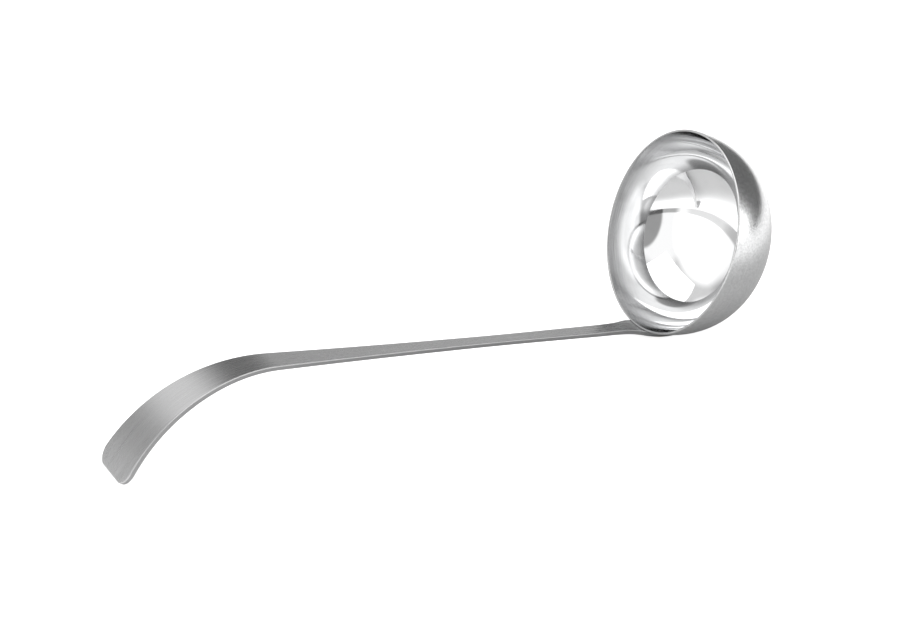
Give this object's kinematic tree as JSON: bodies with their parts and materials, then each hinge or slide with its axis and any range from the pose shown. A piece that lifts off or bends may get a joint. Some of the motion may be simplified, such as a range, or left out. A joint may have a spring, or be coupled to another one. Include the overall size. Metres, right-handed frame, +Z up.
{
  "type": "ladle",
  "caption": "Stainless-steel soup ladle with a deep round bowl and a long flat handle that ends in a wide downturned hook.",
  "frame": {"origin": "on the table, under the middle of the whole ladle's box, as the ladle lies on its hook and its lap", "axes": "+Z up, +X along the ladle from the hook's tip to the bowl's back, +Y to the left of that"},
  "size_m": [0.3019, 0.09, 0.0893],
  "materials": {
    "bowl_steel": "mirror-polished inside, satin outside",
    "handle_steel": "brushed along its length",
    "weld_steel": "bare cast weld metal"
  },
  "bodies": {
    "root": {"bowl": "bowl_steel", "handle": "handle_steel", "spot_welds": "weld_steel"}
  },
  "joints": []
}
